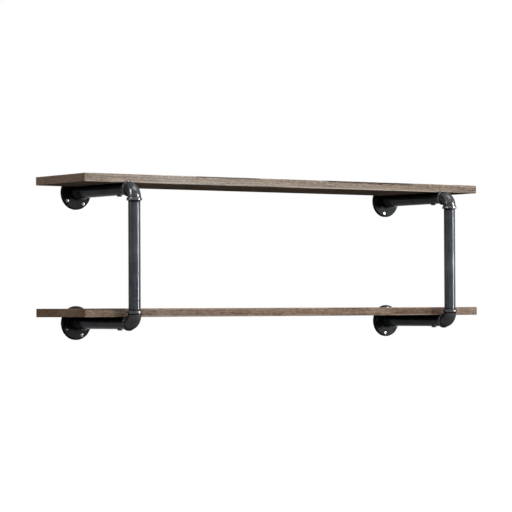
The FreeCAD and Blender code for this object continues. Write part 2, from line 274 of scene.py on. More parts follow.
def white_floor():
    material = bpy.data.materials.new("white_floor")
    material.use_nodes = True
    tree = material.node_tree
    tree.nodes.clear()
    place = put(tree, "ShaderNodeTexCoord").outputs["Object"]
    speckle = fit(tree, noise_at(tree, place, FLOOR_SPECKLE), 0.3, 0.7, *FLOOR_GREYS)
    grey = put(tree, "ShaderNodeCombineColor", {0: speckle, 1: speckle, 2: speckle}).outputs[0]
    matt = put(tree, "ShaderNodeBsdfDiffuse", {"Color": grey}).outputs[0]
    distance = put(tree, "ShaderNodeVectorMath", {0: place}, operation="LENGTH").outputs["Value"]
    strength = fit(tree, distance, *GLOW_REACH, *GLOW_STRENGTH)
    glow = put(tree, "ShaderNodeEmission", {"Color": WHITE, "Strength": strength}).outputs[0]
    bright = put(tree, "ShaderNodeAddShader", {0: matt, 1: glow}).outputs[0]
    shown = {0: seen_directly(tree), 1: matt, 2: bright}
    from_above = put(tree, "ShaderNodeMixShader", shown).outputs[0]
    below = put(tree, "ShaderNodeNewGeometry").outputs["Backfacing"]
    clear = put(tree, "ShaderNodeBsdfTransparent").outputs[0]
    one_sided = put(tree, "ShaderNodeMixShader", {0: below, 1: from_above, 2: clear}).outputs[0]
    put(tree, "ShaderNodeOutputMaterial", {"Surface": one_sided})
    return material


def to_mesh(maker, name):
    """Turns a bmesh into a mesh and frees it."""
    mesh = bpy.data.meshes.new(name)
    maker.to_mesh(mesh)
    maker.free()
    return mesh


def disc(name, radius, height, steps):
    sheet = bmesh.new()
    rim = []
    for step in range(steps):
        angle = 2 * math.pi * step / steps
        rim.append(sheet.verts.new((radius * math.cos(angle), radius * math.sin(angle), height)))
    sheet.faces.new(rim)
    return add_object(name, to_mesh(sheet, name))


floor = disc("floor", FLOOR_RADIUS, FLOOR_HEIGHT, FLOOR_STEPS)
floor.data.materials.append(white_floor())
print("floor at", FLOOR_HEIGHT, "m")

# %% [markdown]
# ## The world
#
# Beyond the floor the world is white too. A picture of a room could light the shelf, but it would
# also put its colours and windows into the shiny pipes. As light the world is dim, and dimmer from
# below than from above, as in a room.

# %% Set the world
SKY_BELOW, SKY_ABOVE = 0.04, 0.28
SKY_TURNS = (-0.5, 0.6)

world = bpy.data.worlds.new("white_world")
bpy.context.scene.world = world
world.use_nodes = True
sky = world.node_tree
sky.nodes.clear()
direction = put(sky, "ShaderNodeTexCoord").outputs["Generated"]
height_of_ray = put(sky, "ShaderNodeSeparateXYZ", {0: direction}).outputs[2]
ambient = fit(sky, height_of_ray, *SKY_TURNS, SKY_BELOW, SKY_ABOVE)
sky_strength = put(sky, "ShaderNodeMix", {0: seen_directly(sky), 2: ambient, 3: 1.0}).outputs[0]
background = put(sky, "ShaderNodeBackground", {"Color": WHITE, "Strength": sky_strength})
put(sky, "ShaderNodeOutputWorld", {"Surface": background.outputs[0]})
print("light from the world:", SKY_BELOW, "below,", SKY_ABOVE, "above")

# %% [markdown]
# ## Soft boxes
#
# Lamps do two jobs, and here most of them do only one. A tall strip at the right is only seen in
# reflections, where it draws the thin bright line down each upright, and a small one at the left
# does so on the bend of the nearest elbow. Broad boxes at the right and in front only light the
# surfaces, so that the pipes' shadows on the planks stay soft. A box above and a weak one at the
# left do both, and the weak one keeps the sawn ends from going black.

# %% Place the lamps
SHELF_MIDDLE = Vector((0.0, -0.13, 0.16))


def soft_box(name, bearing, elevation, distance, width, height, power, lights=True, mirrored=True):
    """An area lamp that faces the shelf. The bearing is from the front, towards the right."""
    across, up = math.radians(bearing), math.radians(elevation)
    out = Vector((math.sin(across) * math.cos(up), -math.cos(across) * math.cos(up), math.sin(up)))
    lamp = bpy.data.lights.new(name, "AREA")
    lamp.shape = "RECTANGLE"
    lamp.size = width
    lamp.size_y = height
    lamp.energy = power
    made = add_object(name, lamp)
    facing = out.to_track_quat("Z", "Y").to_matrix().to_4x4()
    made.matrix_world = Matrix.Translation(SHELF_MIDDLE + out * distance) @ facing
    made.visible_camera = False
    made.visible_diffuse = lights
    made.visible_glossy = mirrored
    print(name, "at", [round(v, 2) for v in made.location], "power", power)


soft_box("side_strip", bearing=42, elevation=9, distance=6.0, width=0.45, height=3.0,
         power=900, lights=False)
soft_box("side_box", bearing=46, elevation=14, distance=8.0, width=8.0, height=4.0,
         power=690, mirrored=False)
soft_box("front_box", bearing=8, elevation=26, distance=4.5, width=2.6, height=1.6,
         power=30, mirrored=False)
soft_box("top_box", bearing=10, elevation=70, distance=3.5, width=2.2, height=1.6, power=90)
soft_box("left_fill", bearing=-98, elevation=10, distance=4.5, width=1.6, height=1.6, power=24)
soft_box("left_strip", bearing=-84, elevation=24, distance=1.4, width=0.13, height=0.45,
         power=8.5, lights=False)

# %% [markdown]
# ## Weathered wood: the growth rings
#
# A plank is cut out of a log. A picture of wood wrapped round it would show the same grain on all
# its sides, so the grain is worked out in three dimensions instead: growth rings stand round a
# line that runs along X, below the plank. The same rings then show as long flames on the top, as
# fine lines on the front and as arcs on the ends. Slow noise bends them.

# %% Growth rings
RING_SPACING = 2.6 * MM
RING_BEND = 30.0 * MM
RING_RIPPLE = 2.4 * MM


class Timber:
    """What the steps of a wood finish share: its tree, coordinates, plank and three colours."""

    def __init__(self, name, node, colours, seed):
        self.material, self.tree, self.surface, self.place = new_finish(name)
        self.low, self.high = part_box(node)
        self.dark, self.middle, self.light = colours
        self.x, self.y, self.z = put(self.tree, "ShaderNodeSeparateXYZ", {0: self.place}).outputs
        self.shift = (seed * 1.7, seed * 0.9, seed * 2.3)

    def noise(self, scale, detail, roughness=0.55, distortion=0.0):
        """Noise that repeats so many times a metre along X, Y and Z."""
        place = stretched(self.tree, self.place, scale, self.shift)
        return noise_at(self.tree, place, 1.0, detail, roughness, distortion)


def growth_rings(timber, pith):
    """How much of the dark late wood there is, and a random number for each year."""
    tree = timber.tree
    across = math_node(tree, "SUBTRACT", timber.y, pith[0])
    up = math_node(tree, "SUBTRACT", timber.z, pith[1])
    squares = math_node(tree, "ADD", times(tree, across, across), times(tree, up, up))
    radius = math_node(tree, "POWER", squares, 0.5)
    radius = add_part(tree, radius, timber.noise((1.3, 5.0, 5.0), 2.0), RING_BEND)
    radius = add_part(tree, radius, timber.noise((9.0, 60.0, 60.0), 3.0), RING_RIPPLE)
    rings = math_node(tree, "DIVIDE", radius, RING_SPACING)
    phase = math_node(tree, "FRACT", rings)
    darkens = fit(tree, phase, 0.35, 0.88, smooth=True)
    late = times(tree, darkens, fit(tree, phase, 1.0, 0.93, smooth=True))
    number = {"W": math_node(tree, "FLOOR", rings)}
    year = put(tree, "ShaderNodeTexWhiteNoise", number, noise_dimensions="1D").outputs[0]
    return late, year


print("a growth ring every", round(RING_SPACING / MM, 1), "mm")

# %% [markdown]
# ## Weathered wood: the grain
#
# Fibres, pores, flecks and clouds come on top of the rings. They are the same noise at different
# scales, most of them much longer along X than across. Their sum is a single tone, from which a
# ramp later reads the colour.

# %% Grain
GRAIN = {  # times a metre along X, Y and Z; detail; roughness; distortion
    "fibres": ((14.0, 520.0, 520.0), 5.0, 0.65, 0.0),
    "pores": ((70.0, 1500.0, 1500.0), 2.0, 0.6, 0.0),
    "flecks": ((105.0, 400.0, 400.0), 4.0, 0.7, 0.0),
    "mottle": ((190.0, 260.0, 260.0), 3.0, 0.65, 0.0),
    "clouds": ((4.0, 16.0, 22.0), 4.0, 0.6, 0.4),
}
GRAIN_SHARES = {"fibres": 0.55, "flecks": 1.20, "mottle": 0.45, "clouds": 0.60}
MIDDLE_TONE = 0.47
YEAR_SHARE = 0.08
LATE_SHARE = -0.16


def grain_tone(timber, late, year, marks, fade):
    """The rings and marks in one number. The fade darkens it per metre towards the right."""
    tree = timber.tree
    tone = add_part(tree, MIDDLE_TONE, year, YEAR_SHARE)
    tone = add_part(tree, tone, late, LATE_SHARE)
    for name, share in GRAIN_SHARES.items():
        tone = add_part(tree, tone, math_node(tree, "SUBTRACT", marks[name], 0.5), share)
    return add_part(tree, tone, timber.x, -fade)


print("kinds of grain:", ", ".join(GRAIN))

# %% [markdown]
# ## Weathered wood: darker and lighter stretches
#
# Stain takes unevenly along a plank. Each stretch has a start, an end and a change of tone; two
# dark ones on the lower plank are painted shadows beside the uprights. Straight borders across the
# plank would look painted, so they wander and blur more, the farther they are from the front.

# %% Stretches
STRETCH_EDGE = 9.0 * MM
STRETCH_BLUR = 0.35
STRETCH_WANDER = 4.5


def both_sides(tree, border, soft):
    """The places that lie the softness before and after a border."""
    return math_node(tree, "SUBTRACT", border, soft), math_node(tree, "ADD", border, soft)


def uneven_stretches(timber, tone, clouds, stretches):
    """The tone with each (start, end, change) added."""
    tree = timber.tree
    depth = math_node(tree, "SUBTRACT", timber.y, timber.low.y)
    wander = times(tree, depth, math_node(tree, "SUBTRACT", clouds, 0.5))
    along = add_part(tree, timber.x, wander, STRETCH_WANDER)
    soft = add_part(tree, STRETCH_EDGE, depth, STRETCH_BLUR)
    for start, end, change in stretches:
        rise = fit(tree, along, *both_sides(tree, start, soft))
        fall = fit(tree, along, *reversed(both_sides(tree, end, soft)))
        tone = add_part(tree, tone, times(tree, rise, fall), change)
    return tone


print("borders of stretches are soft over", round(2 * STRETCH_EDGE / MM), "mm at the front")

# %% [markdown]
# ## Weathered wood: age
#
# Old boards go grey in drifts, their pores fill with dirt, the sawn ends drink more stain than the
# faces, and the rounded arrises are rubbed pale. The direction that a point faces tells the ends
# and the arrises from the faces.

# %% Age
GREY_SATURATION = 0.55
PORE_STRENGTH, PORE_SHADE = 0.55, 0.45
END_STRENGTH = 0.80
RUBBED_STRENGTH = 0.55


def aged(timber, colour, marks, end_tint, greyed):
    """The colour after years of use, and where the open pores are."""
    tree = timber.tree
    drift = fit(tree, timber.noise((3.0, 9.0, 30.0), 3.0), 0.42, 0.66)
    faded = {"Color": colour, "Saturation": GREY_SATURATION, "Value": 1.0}
    grey = put(tree, "ShaderNodeHueSaturation", faded).outputs[0]
    greyness = fit(tree, timber.x, timber.low.x, timber.high.x, *greyed)
    colour = mix_colours(tree, times(tree, drift, greyness), colour, grey)

    pores = times(tree, fit(tree, marks["pores"], 0.62, 0.72), PORE_STRENGTH)
    colour = mix_colours(tree, pores, colour, shade(timber.dark, PORE_SHADE))

    normal = put(tree, "ShaderNodeNewGeometry").outputs["Normal"]
    facing = put(tree, "ShaderNodeSeparateXYZ", {0: normal}).outputs
    along, across, up = [math_node(tree, "ABSOLUTE", part) for part in facing]
    end_grain = times(tree, fit(tree, along, 0.55, 0.85), END_STRENGTH)
    colour = mix_colours(tree, end_grain, colour, end_tint, "MULTIPLY")

    squareness = math_node(tree, "MAXIMUM", along, math_node(tree, "MAXIMUM", across, up))
    arris = fit(tree, squareness, 0.985, 0.86)
    rubbed = times(tree, arris, fit(tree, marks["flecks"], 0.40, 0.60), RUBBED_STRENGTH)
    return mix_colours(tree, rubbed, colour, shade(timber.light)), pores

# %% [markdown]
# ## Weathered wood: lines along the front
#
# The front arrises carry fine lines: pale where the stain is rubbed off, and dark where it has
# pooled or where bark is left. They are strips a few millimetres wide, measured from the plank's
# edges, and noise breaks them up. The bark comes from the mesh, which stores where it keeps some.

# %% Lines along the front
PALE_STRENGTH = 0.75
BARK_STRENGTH = 0.85
STAIN_EDGE = 6.0 * MM
STAIN_SHADE = 0.30
FRONT_STRIP = (3.0 * MM, 1.5 * MM)
BOTTOM_STRIP = (3.6 * MM, 2.4 * MM)
TOP_STRIP = (3.4 * MM, 2.6 * MM)


def window(tree, value, start, end, soft):
    """1 from start to end and 0 elsewhere, with soft ends."""
    rise = fit(tree, value, start - soft, start + soft)
    return times(tree, rise, fit(tree, value, end + soft, end - soft))


def front_lines(timber, colour, flecks, stained, rubbed_top):
    """The colour with its lines. A strip's two numbers say where it begins and where it is full."""
    tree, low, high = timber.tree, timber.low, timber.high
    at_front = fit(tree, timber.y, *[low.y + inset for inset in FRONT_STRIP])
    at_bottom = fit(tree, timber.z, *[low.z + inset for inset in BOTTOM_STRIP])
    at_top = fit(tree, timber.z, *[high.z - inset for inset in TOP_STRIP])
    patches = fit(tree, timber.noise((7.0, 0.0, 0.0), 3.0), 0.44, 0.52)
    either = math_node(tree, "MAXIMUM", at_bottom, times(tree, at_top, rubbed_top))
    pale = times(tree, at_front, patches, either, PALE_STRENGTH)
    colour = mix_colours(tree, pale, colour, shade(timber.light))

    stain_colour = shade(timber.dark, STAIN_SHADE)
    ragged = fit(tree, flecks, 0.30, 0.50)
    for start, end, strength in stained:
        stretch = window(tree, timber.x, start, end, STAIN_EDGE)
        stain = times(tree, stretch, at_top, at_front, ragged, strength)
        colour = mix_colours(tree, stain, colour, stain_colour)
    bark = put(tree, "ShaderNodeAttribute", attribute_name="wane").outputs["Fac"]
    return mix_colours(tree, times(tree, bark, BARK_STRENGTH), colour, stain_colour)

# %% [markdown]
# ## Weathered wood: the two planks
#
# Both planks have the same recipe, and differ in what goes into it. The upper one is paler. The
# lower one is browner, and was cut a little farther from the middle of its log. Each has its own
# seed, so that no grain repeats.

# %% Wood finishes
ROUGH_WOOD, FIBRE_ROUGHNESS = 0.58, 0.25


def wood(name, node, colours, end_tint, pith, seed, fade, greyed, stretches, stained, rubbed_top):
    """Solid wood whose rings stand round a line along X through pith, given as (y, z)."""
    timber = Timber(name, node, colours, seed)
    tree, surface = timber.tree, timber.surface
    late, year = growth_rings(timber, pith)
    marks = {kind: timber.noise(*noise_settings) for kind, noise_settings in GRAIN.items()}
    tone = grain_tone(timber, late, year, marks, fade)
    tone = uneven_stretches(timber, tone, marks["clouds"], stretches)
    colour = ramp(tree, tone, [(0.10, timber.dark), (0.50, timber.middle), (0.88, timber.light)])
    colour, pores = aged(timber, colour, marks, end_tint, greyed)
    colour = front_lines(timber, colour, marks["flecks"], stained, rubbed_top)
    link(tree, colour, surface, "Base Color")
    link(tree, add_part(tree, ROUGH_WOOD, marks["fibres"], FIBRE_ROUGHNESS), surface, "Roughness")
    surface.inputs["Specular IOR Level"].default_value = 0.0
    bump(tree, surface, (marks["clouds"], 0.9 * MM), (late, 0.10 * MM), (marks["flecks"], 0.35 * MM),
         (marks["fibres"], 0.30 * MM), (times(tree, pores, -1.0), 0.25 * MM))
    print("finish", name, "with", len(tree.nodes), "nodes")
    return timber.material


upper_wood = wood(
    "weathered_wood_pale", "upper_shelf_board",
    colours=((0.120, 0.088, 0.062), (0.310, 0.255, 0.204), (0.520, 0.450, 0.380)),
    end_tint=(1.20, 0.98, 0.90, 1.0), pith=(-0.105, 0.235), seed=1, fade=0.13, greyed=(0.45, 0.1),
    stretches=[(-0.56, -0.49, -0.09), (-0.36, -0.28, 0.09), (0.20, 0.32, 0.04), (0.49, 0.56, -0.06)],
    stained=[(-0.26, -0.09, 0.75), (0.10, 0.35, 1.0)], rubbed_top=0.0)
lower_wood = wood(
    "weathered_wood_brown", "lower_shelf_board",
    colours=((0.090, 0.054, 0.034), (0.225, 0.160, 0.116), (0.380, 0.300, 0.235)),
    end_tint=(1.35, 1.25, 1.15, 1.0), pith=(-0.130, -0.070), seed=5, fade=0.02, greyed=(0.3, 0.3),
    # The first and third stretches are painted shadows beside the two uprights.
    stretches=[(-0.41, -0.365, -0.16), (0.215, 0.29, 0.10), (0.297, 0.43, -0.17), (0.48, 0.56, 0.08)],
    stained=[(-0.55, -0.47, 0.6)], rubbed_top=0.7)

# %% [markdown]
# ## Sawn planks: the arrises
#
# A real plank's arrises are never quite even: they are planed off, then knocked and rubbed. A
# bevel modifier would make them all alike. So each plank is built as a row of rounded
# cross-sections along X, whose corner radius wanders a little from one to the next. One stretch
# of the upper plank's front arris keeps a strip of dark wane, where the saw met the bark.

# %% Uneven arrises
STATION = 5.0 * MM
ARRIS = 1.4 * MM
ARRIS_WANDER = 0.45
NICK_DEPTH = 1.8
WANE_ROUNDING = 2.2 * MM
FRONT_TOP_CORNER = 1
END_SHARES = (0.0, 0.12, 0.35, 0.65)


def stations(half_length):
    """(x, inset) of each cross-section: even steps, with finer ones that round the two ends."""
    count = round(2 * half_length / STATION)
    inner = [(-half_length + 2 * half_length * step / count, 0.0) for step in range(1, count)]
    left = []
    for share in END_SHARES:
        inset = ARRIS * (1 - math.sqrt(max(0.0, 1 - (1 - share) ** 2)))
        left.append((-half_length + ARRIS * share, inset))
    right = [(-x, inset) for x, inset in reversed(left)]
    return left + inner + right


def corner_radius(x, corner, seed):
    """The arris's radius at x, between about half and twice the plain one."""
    wander = noise.noise(Vector((x * 7.0, corner * 3.1, seed)))
    nick = max(0.0, noise.noise(Vector((x * 34.0, corner * 5.7, seed + 9.0))) - 0.35)
    return ARRIS * (1.0 + ARRIS_WANDER * wander + NICK_DEPTH * nick)


def wane_share(x, wane, seed):
    """How much bark the front arris keeps at x: none outside the wane, and a ragged lot in it."""
    if wane is None or not wane[0] < x < wane[1]:
        return 0.0
    share = (x - wane[0]) / (wane[1] - wane[0])
    rough = 0.65 + 0.5 * noise.noise(Vector((x * 60.0, 2.0, seed)))
    return max(0.0, math.sin(math.pi * share)) ** 0.6 * rough


sample = [corner_radius(step / 10, FRONT_TOP_CORNER, seed=1) / MM for step in range(-5, 6)]
print("front arris: radius from", round(min(sample), 2), "to", round(max(sample), 2), "mm")

# %% [markdown]
# ## Sawn planks: the cross-section
#
# A cross-section is a rectangle whose four corners have radii of their own. It always has the same
# number of points, so that one section can be joined to the next. The long sides get more points
# than the short ones.

# %% One cross-section
CORNER_STEPS = 5
SIDE_STEPS = (26, 4)
CORNER_SIGNS = [(1, 1), (-1, 1), (-1, -1), (1, -1)]


def side_end(corner, half_depth, half_height, radii):
    """Where the side that starts at a corner meets the next corner's arc."""
    sign_y, sign_z = CORNER_SIGNS[(corner + 1) % 4]
    radius = radii[(corner + 1) % 4]
    if CORNER_SIGNS[corner][0] == sign_y:
        return sign_y * half_depth, sign_z * (half_height - radius)
    return sign_y * (half_depth - radius), sign_z * half_height


def section(half_depth, half_height, radii):
    """Points round a rectangle with four radii, and which corner each belongs to, or None."""
    points = []
    for corner, (sign_y, sign_z) in enumerate(CORNER_SIGNS):
        radius = radii[corner]
        centre_y, centre_z = sign_y * (half_depth - radius), sign_z * (half_height - radius)
        for step in range(CORNER_STEPS + 1):
            angle = math.pi / 2 * (corner + step / CORNER_STEPS)
            y, z = centre_y + radius * math.cos(angle), centre_z + radius * math.sin(angle)
            points.append((y, z, corner))
        end_y, end_z = side_end(corner, half_depth, half_height, radii)
        steps = SIDE_STEPS[corner % 2]
        for step in range(1, steps):
            share = step / steps
            points.append((y + (end_y - y) * share, z + (end_z - z) * share, None))
    return points


print("points in a cross-section:", len(section(1.0, 1.0, [ARRIS] * 4)))

# %% [markdown]
# ## Sawn planks: the whole plank
#
# The sections are joined into one closed skin. Its faces dip by a few tenths of a millimetre, as
# sawn faces do. The dips only go inwards, so the plank stays inside its solid, which it replaces.

# %% Build the planks
FACE_DIP = 0.35 * MM


def inward_dip(x, y, z, half, seed):
    """How a point of the skin moves: inwards across the nearest face."""
    dip = FACE_DIP * (0.5 + 0.5 * noise.noise(Vector((x * 9.0, y * 25.0, z * 25.0 + seed * 7.0))))
    if abs(y) > half.y - 2 * ARRIS:
        return Vector((0.0, -y / half.y, 0.0)) * dip
    return Vector((0.0, 0.0, -z / half.z)) * dip


def join_sections(maker, rings):
    """Closes a row of rings into a solid with smooth sides and two flat ends."""
    count = len(rings[0])
    for first, second in zip(rings, rings[1:]):
        for index in range(count):
            following = (index + 1) % count
            corners = (first[index], first[following], second[following], second[index])
            maker.faces.new(corners).smooth = True
    maker.faces.new(rings[0][::-1])
    maker.faces.new(rings[-1])
    bmesh.ops.recalc_face_normals(maker, faces=maker.faces)


def plank(name, node, finish, seed, wane=None):
    """A plank in the place of a board's solid."""
    low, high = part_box(node)
    middle, half = (low + high) / 2, (high - low) / 2
    maker = bmesh.new()
    bark = maker.verts.layers.float.new("wane")
    rings = []
    for x, inset in stations(half.x):
        radii = [corner_radius(x, corner, seed) for corner in range(4)]
        strip = wane_share(x, wane, seed)
        radii[FRONT_TOP_CORNER] += WANE_ROUNDING * strip
        ring = []
        for y, z, corner in section(half.y - inset, half.z - inset, radii):
            vertex = maker.verts.new(middle + Vector((x, y, z)) + inward_dip(x, y, z, half, seed))
            vertex[bark] = strip if corner == FRONT_TOP_CORNER else 0.0
            ring.append(vertex)
        rings.append(ring)
    join_sections(maker, rings)
    made = add_object(name, to_mesh(maker, name))
    made.data.materials.append(finish)
    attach(made, "root")
    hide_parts(node)
    print(name, "has", len(made.data.vertices), "vertices")


plank("upper_plank", "upper_shelf_board", upper_wood, seed=1, wane=(0.14, 0.40))
plank("lower_plank", "lower_shelf_board", lower_wood, seed=5)

# %% [markdown]
# ## Black pipe
#
# Black iron pipe is drawn through rolls and lacquered: it is smoother than a casting, a little
# blue, and its shine changes slowly along it. A dark base with a weak mirror, slow noise in the
# roughness, long faint streaks along the pipe and small dusty specks give that. Painted shade
# darkens it where it meets another piece, and a painted shadow rings the uprights just under the
# upper elbows.

# %% Pipe finish
PIPE_METALLIC = 0.16
PIPE_ROUGHNESS = (0.13, 0.19)
# Painted shade: the colour put where a pipe meets other pieces, and in a ring under the upper elbows.
PIPE_SHADE = (0.004, 0.004, 0.005, 1.0)
PIPE_SHADE_REACH = 9.0 * MM
SHADE_STRENGTH = 0.95
DUST = (0.16, 0.16, 0.16, 1.0)
BARE_PIPE = (0.17, 0.165, 0.16, 1.0)
# Painted shadow ring: how far under the upper elbows it lies, and how soft its edge is.
SHADOW_RING_DROP = 3.0 * MM
SHADOW_RING_EDGE = 0.8 * MM


def painted_shadow_ring(tree, place):
    """Painted shadow just under the mouths of the upper elbows, and 0 farther down."""
    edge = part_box("upper_left_elbow")[0].z - SHADOW_RING_DROP
    height = put(tree, "ShaderNodeSeparateXYZ", {0: place}).outputs[2]
    return fit(tree, height, edge - SHADOW_RING_EDGE, edge + SHADOW_RING_EDGE, 0.0, SHADE_STRENGTH)


def lacquered_pipe(name, rolling, dark, pale, shadow_under_elbows=False):
    """Black pipe. The rolling marks' scale is small along the pipe, so that they run along it."""
    material, tree, surface, place = new_finish(name)
    slow = noise_at(tree, place, 18.0, 3.0)
    marks = noise_at(tree, stretched(tree, place, rolling), 1.0, 4.0, 0.6)
    mottle = noise_at(tree, place, 210.0, 3.0, 0.65)
    orange_peel = noise_at(tree, place, 900.0, 2.0)
    specks = fit(tree, noise_at(tree, place, 620.0, 3.0, 0.8), 0.66, 0.74)
    wear = edge_wear(tree, place, 1.2 * MM, 260.0)
    tone = add_part(tree, times(tree, marks, 0.30), slow, 0.40)
    tone = add_part(tree, tone, mottle, 0.30)
    colour = ramp(tree, tone, [(0.36, dark), (0.64, pale)])
    colour = mix_colours(tree, times(tree, specks, 0.35), colour, DUST)
    colour = mix_colours(tree, times(tree, wear, 0.45), colour, BARE_PIPE)
    # Painted shade where the pipe meets other pieces.
    painted_shade = times(tree, occlusion_shade(tree, PIPE_SHADE_REACH, 0.97, 0.70), SHADE_STRENGTH)
    colour = mix_colours(tree, painted_shade, colour, PIPE_SHADE)
    # Painted shadow in a ring just under the upper elbows.
    if shadow_under_elbows:
        colour = mix_colours(tree, painted_shadow_ring(tree, place), colour, PIPE_SHADE)
    link(tree, colour, surface, "Base Color")
    link(tree, fit(tree, slow, 0.3, 0.7, *PIPE_ROUGHNESS), surface, "Roughness")
    surface.inputs["Metallic"].default_value = PIPE_METALLIC
    surface.inputs["Specular IOR Level"].default_value = 0.05
    surface.inputs["Specular Tint"].default_value = (0.2, 0.2, 0.2, 1.0)
    bump(tree, surface, (slow, 0.15 * MM), (marks, 0.04 * MM), (orange_peel, 0.03 * MM))
    return material


upright_finish = lacquered_pipe("lacquered_upright", rolling=(320.0, 320.0, 14.0), shadow_under_elbows=True,
                                dark=(0.038, 0.042, 0.050), pale=(0.106, 0.113, 0.125))
# The arms' copy of the pipe finish is painted darker, as shade from the planks above them.
shaded_arm_finish = lacquered_pipe("lacquered_arm_shaded", rolling=(320.0, 14.0, 320.0),
                            dark=(0.028, 0.031, 0.036), pale=(0.074, 0.078, 0.086))
print("pipe finishes:", upright_finish.name, "and", shaded_arm_finish.name)

# %% [markdown]
# ## Finishing the pipes
#
# The pipes' solids are right as they are. They could be copied and dressed, but a solid that keeps
# its shape can simply get the new finish in all its material slots. The uprights' rolling marks run
# along Z and the arms' along Y, and the arms' coat is painted darker, as shade from the planks
# above them.

# %% Give the pipes their finish
def refinish(node, material):
    """Gives a ready-made solid a finish in place of its plain one."""
    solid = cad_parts[node]
    for slot in solid.material_slots:
        slot.material = material
    for face in solid.data.polygons:
        face.material_index = 0


CORNERS = [f"{level}_{side}" for level in ("lower", "upper") for side in ("left", "right")]
for side in ("left", "right"):
    refinish(f"{side}_upright_pipe", upright_finish)
for corner in CORNERS:
    refinish(f"{corner}_arm_pipe", shaded_arm_finish)
print("pipes:", 2 + len(CORNERS))

# %% [markdown]
# ## Cast fittings: the bands
#
# Each mouth of an elbow ends in a raised band. Hands and wrenches rub it pale, and it is painted
# lighter still as a highlight, while the corner between it and the bend is painted dark as shade.
# How far a point lies in from a mouth tells both.

# %% Find the bands
BAND_WIDTH = 6.0 * MM
BAND_EDGE = 0.4 * MM
CORNER_WIDTH = 2.6 * MM


def from_mouths(tree, place, level):
    """How far a point of a level's elbows lies in from the rear mouth and from the upright's."""
    low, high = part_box(f"{level}_left_elbow")
    parts = put(tree, "ShaderNodeSeparateXYZ", {0: place}).outputs
    from_rear = math_node(tree, "SUBTRACT", high.y, parts[1])
    if level == "upper":
        return from_rear, math_node(tree, "SUBTRACT", parts[2], low.z)
    return from_rear, math_node(tree, "SUBTRACT", high.z, parts[2])


def on_bands(tree, depths):
    """1 on the raised bands at the two mouths of an elbow, and 0 on its bend."""
    rear, upright = [fit(tree, depth, BAND_WIDTH + BAND_EDGE, BAND_WIDTH) for depth in depths]
    return math_node(tree, "MAXIMUM", rear, upright)


def beside_bands(tree, depths):
    """1 in the corners between the bands and the bend, and 0 elsewhere."""
    start, end = BAND_WIDTH + BAND_EDGE, BAND_WIDTH + CORNER_WIDTH
    rear, upright = [window(tree, depth, start, end, BAND_EDGE) for depth in depths]
    return math_node(tree, "MAXIMUM", rear, upright)


print("bands reach", round(BAND_WIDTH / MM, 1), "mm in from an elbow's mouths")

# %% [markdown]
# ## Cast fittings: the finish
#
# Elbows and flanges are cast in sand, so their skin is lumpy and grainy, with small pits and brown
# patches, and the black coat wears through on the rims. Their corners get painted shade. The lumps
# could be modelled, but they are so low that they only show in the light, so they are bumps of
# noise. The upper elbows are painted a little lighter than the lower ones, which sit more in shade
# and get more painted shade beside their bands. The flanges get a darker, duller copy, painted for
# the shade they lie in under the planks.

# %% Casting finish
BROWN = (0.078, 0.052, 0.046, 1.0)
# Painted shade for the castings' corners and beside the elbows' bands.
CAST_SHADE = (0.004, 0.004, 0.004, 1.0)
CAST_SHADE_REACH = 6.0 * MM
CORNER_SHADE = {"upper": 0.45, "lower": 0.90}
WORN_RIM = 2.6


def blackened_casting(name, dark, pale, metallic, roughness, lumps, brown=0.0, level=None):
    """Black cast iron. A level is given for elbows, so that their bands are found."""
    material, tree, surface, place = new_finish(name)
    slow = noise_at(tree, place, 75.0, 2.0)
    knobbly = noise_at(tree, place, 170.0, 2.0)
    sand = noise_at(tree, place, 420.0, 4.0, 0.65)
    pits = fit(tree, noise_at(tree, place, 260.0, 2.0, 0.5), 0.30, 0.38)
    wear = edge_wear(tree, place, 1.5 * MM, 300.0)
    between = [(first + second) / 2 for first, second in zip(dark, pale)]
    colour = ramp(tree, slow, [(0.30, dark), (0.70, between)])
    patches = fit(tree, noise_at(tree, place, 55.0, 3.0, 0.6), 0.46, 0.62, 0.0, brown)
    colour = mix_colours(tree, patches, colour, BROWN)
    grain = times(tree, fit(tree, sand, 0.50, 0.72), 0.40)
    colour = mix_colours(tree, grain, colour, shade(pale))
    if level is not None:
        depths = from_mouths(tree, place, level)
        # The bands are rubbed pale, and also painted lighter as a highlight.
        rubbed = times(tree, on_bands(tree, depths), fit(tree, sand, 0.35, 0.60, 0.35, 0.9))
        colour = mix_colours(tree, rubbed, colour, shade(pale))
    colour = mix_colours(tree, times(tree, wear, 0.60), colour, shade(pale, WORN_RIM))
    # Painted shade in the corners.
    painted_shade = times(tree, occlusion_shade(tree, CAST_SHADE_REACH, 0.95, 0.60), SHADE_STRENGTH)
    colour = mix_colours(tree, painted_shade, colour, CAST_SHADE)
    # Painted shade in the corners beside the bands.
    if level is not None:
        corner_painted_shade = times(tree, beside_bands(tree, depths), CORNER_SHADE[level])
        colour = mix_colours(tree, corner_painted_shade, colour, CAST_SHADE)
    link(tree, colour, surface, "Base Color")
    link(tree, fit(tree, sand, 0.3, 0.7, roughness - 0.05, roughness + 0.07), surface, "Roughness")
    surface.inputs["Metallic"].default_value = metallic
    surface.inputs["Specular IOR Level"].default_value = 0.0
    surface.inputs["Specular Tint"].default_value = (0.3, 0.3, 0.3, 1.0)
    bump(tree, surface, (slow, lumps), (knobbly, 0.6 * lumps), (sand, 0.10 * MM), (pits, 0.12 * MM))
    return material


# The upper copy is painted lighter than the lower one, which sits more in shade.
elbow_finishes = {
    "upper": blackened_casting("oiled_casting_upper", (0.050, 0.052, 0.058), (0.130, 0.131, 0.136),
                               metallic=0.42, roughness=0.18, lumps=1.2 * MM, brown=0.16, level="upper"),
    "lower": blackened_casting("oiled_casting_lower", (0.048, 0.048, 0.050), (0.114, 0.113, 0.116),
                               metallic=0.36, roughness=0.16, lumps=1.2 * MM, brown=0.20, level="lower"),
}
